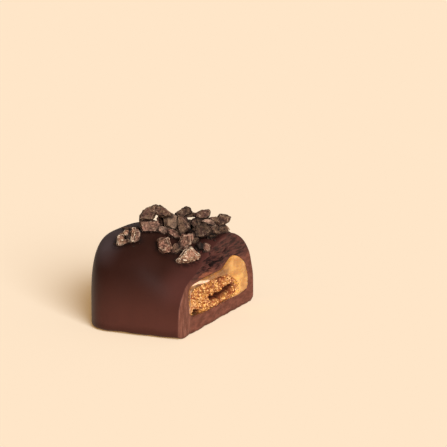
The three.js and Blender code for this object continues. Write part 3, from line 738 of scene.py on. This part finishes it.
def rimmed_faces(bm, sink):
    """Draws a rim along the edges of each face and sinks the face inside it. The vertices' `rim`
    is 1 on the edges and 0 inside."""
    rim = bm.verts.layers.float.new("rim")
    for vert in bm.verts:
        vert[rim] = 1
    for face in list(bm.faces):
        width = min(NIB_RIM, 0.5 * face.calc_area() / face.calc_perimeter())
        bmesh.ops.inset_individual(bm, faces=[face], thickness=width, depth=-sink, use_even_offset=True)
        for vert in face.verts:
            vert[rim] = 0


def fine_mesh(bm, longest):
    """Triangles with no edge much longer than `longest`."""
    for _ in range(5):
        bmesh.ops.triangulate(bm, faces=bm.faces)
        long_edges = [edge for edge in bm.edges if edge.calc_length() > longest]
        if not long_edges:
            return
        bmesh.ops.subdivide_edges(bm, edges=long_edges, cuts=1)
    bmesh.ops.triangulate(bm, faces=bm.faces)


def break_surface(bm, number, height):
    """Gives a chip the rough, grainy surface of a broken bean."""
    seat = Vector((number * 7.3, number * 3.1, 0))
    bm.normal_update()
    moves = []
    for vert in bm.verts:
        spot = vert.co + seat
        lumps = noise.noise(spot * 1.1)
        grains = noise.noise(spot * 3.4) + 0.5 * noise.noise(spot * 7.0)
        moves.append(vert.normal * height * (0.9 * lumps + 0.8 * grains))
    for vert, move in zip(bm.verts, moves):
        vert.co += move


@dataclass
class Chip:
    """A chip of the heap, with its plain surface."""
    name: str
    middle: Vector
    surface: BVHTree


def heap_chips():
    heap = []
    for number, (name, _, at, *form) in enumerate(NIBS):
        bm = chip_hull(number, at, *form)
        heap.append(Chip(name, Vector(at), BVHTree.FromBMesh(bm)))
        bm.free()
    return heap


def touch(point, surface, width):
    """1 where a surface touches a point, 0 from `width` mm off."""
    away = surface.find_nearest(point, width)[3]
    return 0.0 if away is None else 1 - smooth(0, width, away)


def closeness(point, chips, width):
    """1 where one of the chips touches a point, 0 from `width` mm off."""
    near = [chip for chip in chips if (point - chip.middle).length < CHIP_REACH + width]
    return max((touch(point, chip.surface, width) for chip in near), default=0.0)


def shade_chip(bm, name, number, at, heap, coat):
    """The chip's `tone`, and its `crowd`, which is 1 where it touches the coat or another chip and carries
    the painted shade of the seams.
    """
    tone = bm.verts.layers.float.new("tone")
    crowd = bm.verts.layers.float.new("crowd")
    own = next((bean for bean in ONE_BEAN if name in bean), {name})
    others = [chip for chip in heap if chip.name not in own and (chip.middle - at).length < NEIGHBOUR_REACH]
    for vert in bm.verts:
        vert[tone] = CHIP_TONES.get(name, scatter(number, 4, 19))
        vert[crowd] = max(closeness(vert.co, others, SEAM_WIDTH), touch(vert.co, coat, SEAM_WIDTH))


def nib_chip(heap, coat, number, name, kind, at, face, deep, outline):
    bm = chip_hull(number, at, face, deep, outline)
    rimmed_faces(bm, HOLLOWED[kind])
    fine_mesh(bm, NIB_MESH)
    every_axis = {"use_axis_x": True, "use_axis_y": True, "use_axis_z": True}
    for _ in range(3):
        bmesh.ops.smooth_vert(bm, verts=bm.verts, factor=0.5, **every_axis)
    break_surface(bm, number, ROUGHNESS[kind])
    shade_chip(bm, name, number, Vector(at), heap, coat)
    bmesh.ops.recalc_face_normals(bm, faces=bm.faces)
    return bm


def joined(parts):
    """One bmesh of several."""
    whole = bmesh.new()
    for part in parts:
        mesh = bpy.data.meshes.new("part")
        part.to_mesh(mesh)
        part.free()
        whole.from_mesh(mesh)
        bpy.data.meshes.remove(mesh)
    return whole


def make_nibs(heap, coat):
    for kind in ("dark", "red", "pale"):
        chips = [nib_chip(heap, coat, number, *nib) for number, nib in enumerate(NIBS) if nib[1] == kind]
        finish_piece(f"nibs_{kind}", joined(chips), nib_finish(kind), "chocolate_shell")


# ------------ crumbs

def lump(spot, size, seed):
    """A small uneven grain."""
    bm = bmesh.new()
    bmesh.ops.create_icosphere(bm, subdivisions=1, radius=size / 2)
    for vert in bm.verts:
        vert.co *= 1 + 0.35 * noise.noise(vert.co / size * 2.2 + Vector((seed, 0, 0)))
    bmesh.ops.rotate(bm, matrix=Matrix.Rotation(seed * 1.7, 3, (0.4, 0.5, 0.77)), verts=bm.verts)
    bmesh.ops.translate(bm, vec=spot, verts=bm.verts)
    return bm


def make_nib_dust():
    """Small dark grains that lie on the coat round the heap, their darkness partly painted shade."""
    chance = Random(3)
    grains = []
    for seed in range(DUST_GRAINS):
        middle = Vector(chance.choice(NIBS)[2])
        away, turn = chance.uniform(0.3, 1.0) * DUST_REACH, chance.uniform(0, tau)
        x = clamp(middle.x + away * cos(turn), TIP_X + 2, CUT_X - 0.3)
        y = middle.y + away * sin(turn)
        size = chance.uniform(*DUST_SIZES)
        grains.append(lump(Vector((x, y, coat_height(x, y) + 0.15 * size)), size, seed))
    finish_piece("nib_dust", joined(grains), nib_finish("dust"), "chocolate_shell")


def make_biscuit_crumbs():
    """Loose crumbs on the broken face of the biscuit, some of them dragged over the caramel."""
    chance = Random(7)
    grains = []
    for seed in range(CRUMBS):
        phi = chance.uniform(0, tau)
        inward = chance.uniform(-0.14, 0.96)
        dragged = inward < 0
        spot = biscuit_spot(inward, phi)
        if dragged:
            height = caramel_relief(spot.y, spot.z) - OUTER_CLING
        else:
            height = biscuit_relief(spot.y, spot.z)
        if height < CRUMBLESS_DEPTH or dragged and hugged(phi) > 0.2:
            continue
        size = chance.uniform(*(DRAGGED_CRUMB_SIZES if dragged else CRUMB_SIZES))
        spot.x = CUT_X + height + 0.12 * size
        grains.append(lump(spot, size, seed))
    finish_piece("biscuit_crumbs", joined(grains), crumb_finish(), "biscuit")


# ------------ finishes

class Sock:
    """A number or colour on its way through a material's nodes. Arithmetic on it adds Math nodes."""

    def __init__(self, finish, socket):
        self.finish = finish
        self.socket = socket

    def math(self, operation, *values):
        return self.finish.node("ShaderNodeMath", {"operation": operation}, dict(enumerate(values)))

    def __add__(self, other):
        return self.math("ADD", self, other)

    def __mul__(self, other):
        return self.math("MULTIPLY", self, other)

    def __pow__(self, other):
        return self.math("POWER", self, other)

    __radd__ = __add__

    def ramp(self, start, end):
        """0 up to `start`, 1 from `end` on, smooth between. It falls where `end` is the smaller."""
        inputs = {"Value": self, "From Min": start, "From Max": end}
        return self.finish.node("ShaderNodeMapRange", {"interpolation_type": "SMOOTHSTEP"}, inputs)


class Finish:
    """Builds one material: its nodes, and the shader at their end."""

    def __init__(self, name):
        self.material = bpy.data.materials.new(name)
        self.material.use_nodes = True
        self.tree = self.material.node_tree
        self.tree.nodes.clear()

    def put(self, socket, value):
        if isinstance(value, Sock):
            self.tree.links.new(value.socket, socket)
        elif isinstance(value, tuple) and len(value) == 3 and socket.type == "RGBA":
            socket.default_value = (*value, 1)
        else:
            socket.default_value = value

    def node(self, kind, settings, inputs, output=0):
        node = self.tree.nodes.new(kind)
        for name, value in settings.items():
            setattr(node, name, value)
        for name, value in inputs.items():
            self.put(node.inputs[name], value)
        return Sock(self, node.outputs[output])

    def place(self, stretch=(1, 1, 1)):
        """Place on the object in mm, stretched along its axes."""
        where = self.node("ShaderNodeTexCoord", {}, {}, "Object")
        scale = tuple(share / MM for share in stretch)
        return self.node("ShaderNodeMapping", {}, {"Vector": where, "Scale": scale})

    def along(self, axis):
        """Place on one axis of the object, in mm."""
        return self.node("ShaderNodeSeparateXYZ", {}, {0: self.place()}, axis)

    def value(self, name):
        return self.node("ShaderNodeAttribute", {"attribute_name": name}, {}, "Fac")

    def grain(self, size, stretch=(1, 1, 1), detail=3.0, rough=0.55, warp=0.0):
        """Noise from 0 to 1 whose features are about `size` mm."""
        inputs = {"Vector": self.place(stretch), "Scale": 1 / size, "Detail": detail, "Roughness": rough,
                  "Distortion": warp}
        return self.node("ShaderNodeTexNoise", {}, inputs)

    def cells(self, size):
        return self.node("ShaderNodeTexVoronoi", {}, {"Vector": self.place(), "Scale": 1 / size})

    def blend(self, share, first, second):
        settings = {"data_type": "RGBA", "clamp_factor": True}
        return self.node("ShaderNodeMix", settings, {0: share, 6: first, 7: second}, 2)

    def painted(self, colour, *coats):
        """A colour under coats of others, each given by its share and its colour."""
        for share, coat in coats:
            colour = self.blend(share, colour, coat)
        return colour

    def bump(self, height, distance):
        """Normals of a relief `distance` mm high."""
        inputs = {"Height": height, "Distance": distance * MM, "Strength": 1.0}
        return self.node("ShaderNodeBump", {}, inputs)

    def shader(self, **inputs):
        """Ends the material in a shader, whose inputs are named with _ for a space."""
        named = {name.replace("_", " "): value for name, value in inputs.items()}
        surface = self.node("ShaderNodeBsdfPrincipled", {}, named)
        output = self.tree.nodes.new("ShaderNodeOutputMaterial")
        self.tree.links.new(surface.socket, output.inputs["Surface"])
        return self.material


CHOCOLATE = {
    # painted light: dark on top and lighter low on the side, where the bright table lights it
    "top": (0.0235, 0.0062, 0.0036),
    "side": (0.064, 0.0175, 0.0115),
    # painted sheen: the rounded end greyer, as light glancing off it
    "rounded end": (0.058, 0.036, 0.035),
    # painted sheen on the top towards the rounded end
    "sheen": (0.075, 0.047, 0.046),
    # painted light: lighter low on the side close to the cut
    "low by the cut": (0.1, 0.028, 0.019),
    # painted light: the shoulder by the cut lighter
    "shoulder": (0.115, 0.033, 0.025),
    "cloud": (0.036, 0.0115, 0.008),
    # painted shade along the foot, where the coat meets the table
    "foot": (0.036, 0.0095, 0.0055),
    # painted shade round the nibs, broken up finely
    "dust": (0.009, 0.0035, 0.0025),
    "pressed": ((0.098, 0.0275, 0.016), (0.17, 0.052, 0.032)),
    "near wall": ((0.105, 0.0325, 0.0195), (0.2, 0.071, 0.045)),
    "smeared": ((0.019, 0.006, 0.005), (0.08, 0.024, 0.0175)),
    "flake": (0.21, 0.062, 0.03),
    # painted shade in the slits and the hole
    "slit": (0.012, 0.005, 0.004),
    # painted shade along the foot of the cut, where it meets the table
    "foot of the cut": (0.05, 0.0155, 0.01),
}
CARAMEL = {
    "thin": ((0.12, 0.04, 0.011), (0.28, 0.108, 0.028)),
    "thick": ((0.42, 0.165, 0.034), (0.68, 0.32, 0.08)),
    "fleck": (0.5, 0.23, 0.07),
    "film": (0.15, 0.045, 0.02),
    # painted highlight along the lip
    "lip": (0.86, 0.5, 0.31),
}
CRUMB_COLOURS = {
    "golden": ((0.3, 0.07, 0.02), (0.39, 0.145, 0.031)),
    "pale": (0.78, 0.41, 0.135),
    "brown": (0.12, 0.027, 0.007),
    "baked": (0.17, 0.038, 0.011),
    # painted shade in the holes, cracks and pit, darkest where they are deepest
    "hollow": (0.12, 0.026, 0.009),
    "deep": (0.042, 0.0065, 0.002),
    "loose": ((0.28, 0.072, 0.02), (0.76, 0.4, 0.14)),
    "loose brown": (0.16, 0.038, 0.01),
}


def coat_colour(made, height, cloud, fine):
    """Painted light and shade: dark on top and redder low on the side, as the table below lights it,
    lighter low down and on the shoulder by the cut, a greyish painted sheen on the rounded end and the top
    behind it, and painted shade at the foot and close to the nibs."""
    x = made.along("X")
    # painted light: the side lighter low down, where the table lights it
    low = height.ramp(10.5, 1.5)
    return made.painted(
        CHOCOLATE["top"],
        (low, CHOCOLATE["side"]),
        # painted sheen on the rounded end
        (x.ramp(-5.0, -9.4) * 0.85, CHOCOLATE["rounded end"]),
        # painted sheen on the top towards the rounded end
        (height.ramp(9.5, 13.0) * x.ramp(-1.5, -6.0) * 0.75, CHOCOLATE["sheen"]),
        # painted light low on the side close to the cut
        (low * x.ramp(1.0, 7.0) * 0.1, CHOCOLATE["low by the cut"]),
        # painted light on the shoulder by the cut
        (x.ramp(4.5, 9.4) * height.ramp(4.0, 9.0) * 0.6, CHOCOLATE["shoulder"]),
        (cloud.ramp(0.35, 0.7) * 0.25, CHOCOLATE["cloud"]),
        # painted shade along the foot, where the coat meets the table
        ((height + cloud * 2.4).ramp(3.0, 1.9) * 0.6, CHOCOLATE["foot"]),
        # painted shade round the nibs
        (made.value("dust") * fine.ramp(0.3, 0.55) * 0.85, CHOCOLATE["dust"]),
    )


def cut_colour(made, height, cloud, dragged, upright, near_wall):
    """Paler and redder, streaked upright in the near wall, smeared darker above the filling."""
    streaks = made.grain(0.55, stretch=(1, 0.22, 1.5), detail=4, warp=0.25)
    pressed = made.blend(dragged.ramp(0.35, 0.7), *CHOCOLATE["pressed"])
    wall = made.blend(upright.ramp(0.38, 0.64), *CHOCOLATE["near wall"])
    smeared = made.blend(streaks.ramp(0.36, 0.62), *CHOCOLATE["smeared"])
    return made.painted(
        pressed,
        (near_wall, wall),
        ((height + cloud * 3).ramp(9.2, 11.0), smeared),
        (made.value("flake") * dragged.ramp(0.2, 0.5), CHOCOLATE["flake"]),
        # painted shade in the slits and the hole
        (made.value("slit"), CHOCOLATE["slit"]),
        # painted shade along the foot of the cut
        ((height + cloud * 0.8).ramp(1.1, 0.4) * 0.6, CHOCOLATE["foot of the cut"]),
    )


def chocolate_finish():
    """Dark chocolate: satin outside, dull where it is cut."""
    made = Finish("dark_chocolate")
    cut = made.value("cut")
    height = made.along("Z")
    cloud = made.grain(3.5, detail=4)
    fine = made.grain(0.35, detail=5)
    upright = made.grain(0.4, stretch=(1, 1.6, 0.16), detail=4)
    dragged = made.grain(0.8, stretch=(1, 0.4, 1.3), detail=5, warp=0.4)
    near_wall = made.along("Y").ramp(-10.3, -12.0)
    outside = coat_colour(made, height, cloud, fine)
    inside = cut_colour(made, height, cloud, dragged, upright, near_wall)
    relief = fine * 0.35 + cloud * 0.9 + cut * (near_wall * upright * 1.4 + dragged * 1.6 + fine)
    return made.shader(
        Base_Color=made.blend(cut, outside, inside),
        Roughness=0.42 + cut * 0.16 + fine * 0.08,
        Specular_IOR_Level=0.1,
        Normal=made.bump(relief, 0.03),
    )


def caramel_finish():
    """Soft caramel: glossy and translucent, browner where it is smeared thin, with a painted highlight
    along its lip.
    """
    made = Finish("caramel")
    smear = made.grain(1.7, stretch=(1, 0.55, 1.3), detail=4, rough=0.5, warp=0.4)
    fine = made.grain(0.35, detail=4)
    pocket = made.along("Y").ramp(0.5, 6.5)
    thin = made.blend(smear.ramp(0.36, 0.66), *CARAMEL["thin"])
    thick = made.blend(smear.ramp(0.36, 0.66), *CARAMEL["thick"])
    colour = made.painted(
        thin,
        (pocket, thick),
        (fine.ramp(0.5, 0.7) * 0.3, CARAMEL["fleck"]),
        (made.value("film"), CARAMEL["film"]),
        # painted highlight along the lip
        (made.value("lip") * fine.ramp(0.15, 0.45), CARAMEL["lip"]),
    )
    return made.shader(
        Base_Color=colour,
        Roughness=0.26 + fine * 0.16,
        Specular_IOR_Level=0.2,
        Subsurface_Weight=0.3,
        Subsurface_Radius=(1.0, 0.45, 0.14),
        Subsurface_Scale=0.7 * MM,
        Coat_Weight=0.06,
        Coat_Roughness=0.12,
        Normal=made.bump(smear * 0.6 + fine * 0.5, 0.06),
    )


def biscuit_colour(made, hollow):
    """Baked crumb: golden, with pale and brown grains, and painted shade in its holes and cracks."""
    speck = made.grain(0.4, stretch=(1, 0.75, 1.2), detail=4, rough=0.7, warp=0.5)
    patch = made.grain(1.6, detail=3)
    baked = made.grain(0.8, stretch=(1, 0.8, 1.1), detail=3, warp=0.6)
    return made.painted(
        made.blend(patch.ramp(0.42, 0.58), *CRUMB_COLOURS["golden"]),
        (speck.ramp(0.5, 0.62), CRUMB_COLOURS["pale"]),
        (speck.ramp(0.47, 0.35) * 0.85, CRUMB_COLOURS["brown"]),
        (baked.ramp(0.53, 0.63) * 0.8, CRUMB_COLOURS["baked"]),
        # painted shade in the holes, cracks and pit
        (hollow.ramp(0.25, 0.7) * 0.85, CRUMB_COLOURS["hollow"]),
        (hollow.ramp(0.8, 1.0) * 0.85, CRUMB_COLOURS["deep"]),
    )


def biscuit_finish():
    made = Finish("biscuit")
    speck = made.grain(0.22, detail=4)
    return made.shader(
        Base_Color=biscuit_colour(made, made.value("hollow")),
        Roughness=0.62 + speck * 0.25,
        Specular_IOR_Level=0.08,
        Normal=made.bump(speck + made.cells(0.3) * 0.8, 0.08),
    )


def crumb_finish():
    made = Finish("biscuit_crumb")
    speck = made.grain(0.3, detail=3)
    patch = made.grain(0.9, detail=2)
    colour = made.blend(patch.ramp(0.4, 0.6), *CRUMB_COLOURS["loose"])
    colour = made.blend(speck.ramp(0.52, 0.66) * 0.7, colour, CRUMB_COLOURS["loose brown"])
    return made.shader(Base_Color=colour, Roughness=0.5 + speck * 0.3, Normal=made.bump(speck, 0.05))


# Cocoa nibs: colours of the skin, of its dark patches and painted shade, of the pale broken grain, and
# of the redder grain.
NIB_COLOURS = {
    # dark grains round the heap, their darkness partly painted shade
    "dust": ((0.03, 0.013, 0.007), (0.007, 0.0035, 0.0025), (0.1, 0.05, 0.028), (0.04, 0.015, 0.009)),
    "dark": ((0.132, 0.066, 0.036), (0.01, 0.0048, 0.0033), (0.41, 0.25, 0.16), (0.086, 0.034, 0.022)),
    "red": ((0.145, 0.064, 0.037), (0.02, 0.0075, 0.0045), (0.58, 0.37, 0.25), (0.25, 0.105, 0.067)),
    "pale": ((0.3, 0.155, 0.085), (0.05, 0.019, 0.009), (1.0, 0.76, 0.54), (0.32, 0.14, 0.083)),
}
NIB_PALE_FROM = {"dust": 0.6, "dark": 0.57, "red": 0.56, "pale": 0.55}  # noise level of the pale grains
NIB_RIM_SHARE = {"dust": 0.0, "dark": 0.45, "red": 0.7, "pale": 1.0}  # how pale the broken edges are


def nib_finish(kind):
    """Dry broken bean: mottled and grainy, pale along stretches of its edges, dark in its pits, with
    painted shade in its seams and where it lies deep in the heap, and painted lighter or darker by its
    tone."""
    skin, shade, edge, blush = NIB_COLOURS[kind]
    pale_from = NIB_PALE_FROM[kind]
    made = Finish(f"cocoa_nib_{kind}")
    mottle = made.grain(1.0, detail=3, rough=0.6)
    speck = made.grain(0.55, detail=5, rough=0.75)
    ridge = made.grain(0.5, stretch=(0.3, 1.3, 0.4), detail=3, warp=1.5)
    worn = made.grain(1.5, detail=2)
    rim = (made.value("rim") ** 1.8) * worn.ramp(0.45, 0.56) * speck.ramp(0.38, 0.5)
    tone = made.value("tone")
    darker = tone.math("MAXIMUM", tone, 0.0) * 0.28
    colour = made.painted(
        skin,
        (mottle.ramp(0.42, 0.58), blush),
        (ridge.ramp(0.5, 0.38) * 0.6, shade),
        (speck.ramp(pale_from, pale_from + 0.1) * 0.8, edge),
        (speck.ramp(0.48, 0.4) * 0.9, shade),
        (rim * NIB_RIM_SHARE[kind], edge),
        # painted light on chips with a negative tone
        (tone.ramp(0.0, -1.0) * 0.2, edge),
        # painted shade: chips darkened by their tone and where they touch the coat or another chip
        (darker + (made.value("crowd") ** 1.5) * 0.7, shade),
    )
    return made.shader(
        Base_Color=colour,
        Roughness=0.6 + speck * 0.3,
        Specular_IOR_Level=0.15,
        Normal=made.bump(ridge + speck * 1.2, 0.24),
    )


# ------------ floor, light and camera

FLOOR_HALF = 6.0  # metres
FLOOR_COLOUR = (0.86, 0.73, 0.61)
FLOOR_GLOW = (0.269, 0.14, 0.029)  # the pale table is lit from below as well

VIEW_AZIMUTH, VIEW_ELEVATION = radians(23.1), radians(10.8)
VIEW_TARGET = Vector((10.3, 0, 15.95)) * MM
VIEW_DISTANCE = 270 * MM
LENS = 135
SENSOR = 36

KEY_AZIMUTH, KEY_ELEVATION = radians(43), radians(24)
KEY_STRENGTH = 5.72
KEY_ANGLE = 30
KEY_COLOUR = (0.878, 0.962, 1.0)
ROOM_COLOUR = (0.2, 0.18, 0.16)


def make_floor():
    bm = bmesh.new()
    bmesh.ops.create_grid(bm, x_segments=1, y_segments=1, size=FLOOR_HALF)
    mesh = bpy.data.meshes.new("floor")
    bm.to_mesh(mesh)
    bm.free()
    made = Finish("floor")
    mesh.materials.append(made.shader(
        Base_Color=FLOOR_COLOUR, Roughness=1.0, Specular_IOR_Level=0.0, Emission_Color=FLOOR_GLOW,
        Emission_Strength=1.0))
    surface = bpy.data.objects.new("floor", mesh)
    bpy.context.scene.collection.objects.link(surface)


def make_key_light():
    lamp = bpy.data.lights.new("key", "SUN")
    lamp.energy = KEY_STRENGTH
    lamp.angle = radians(KEY_ANGLE)
    lamp.color = KEY_COLOUR
    key = bpy.data.objects.new("key", lamp)
    key.rotation_mode = "QUATERNION"
    key.rotation_quaternion = direction(KEY_AZIMUTH, KEY_ELEVATION).to_track_quat("Z", "Y")
    bpy.context.scene.collection.objects.link(key)


def make_room_light():
    """A dim studio, as bright from every side."""
    world = bpy.data.worlds.new("studio")
    world.use_nodes = True
    tree = world.node_tree
    tree.nodes.clear()
    back = tree.nodes.new("ShaderNodeBackground")
    output = tree.nodes.new("ShaderNodeOutputWorld")
    back.inputs["Color"].default_value = (*ROOM_COLOUR, 1)
    tree.links.new(back.outputs[0], output.inputs["Surface"])
    bpy.context.scene.world = world


def make_camera():
    lens = bpy.data.cameras.new("camera")
    lens.lens = LENS
    lens.sensor_width = SENSOR
    lens.clip_start = 0.01
    camera = bpy.data.objects.new("camera", lens)
    back = direction(VIEW_AZIMUTH, VIEW_ELEVATION)
    camera.location = VIEW_TARGET + back * VIEW_DISTANCE
    camera.rotation_mode = "QUATERNION"
    camera.rotation_quaternion = back.to_track_quat("Z", "Y")
    bpy.context.scene.collection.objects.link(camera)
    bpy.context.scene.camera = camera


make_camera()
heap_of_nibs = heap_chips()
coat_surface = make_coat(heap_of_nibs)
make_caramel()
make_biscuit()
make_biscuit_crumbs()
make_nibs(heap_of_nibs, coat_surface)
make_nib_dust()
make_floor()
make_key_light()
make_room_light()
bpy.context.scene.view_settings.view_transform = "Standard"
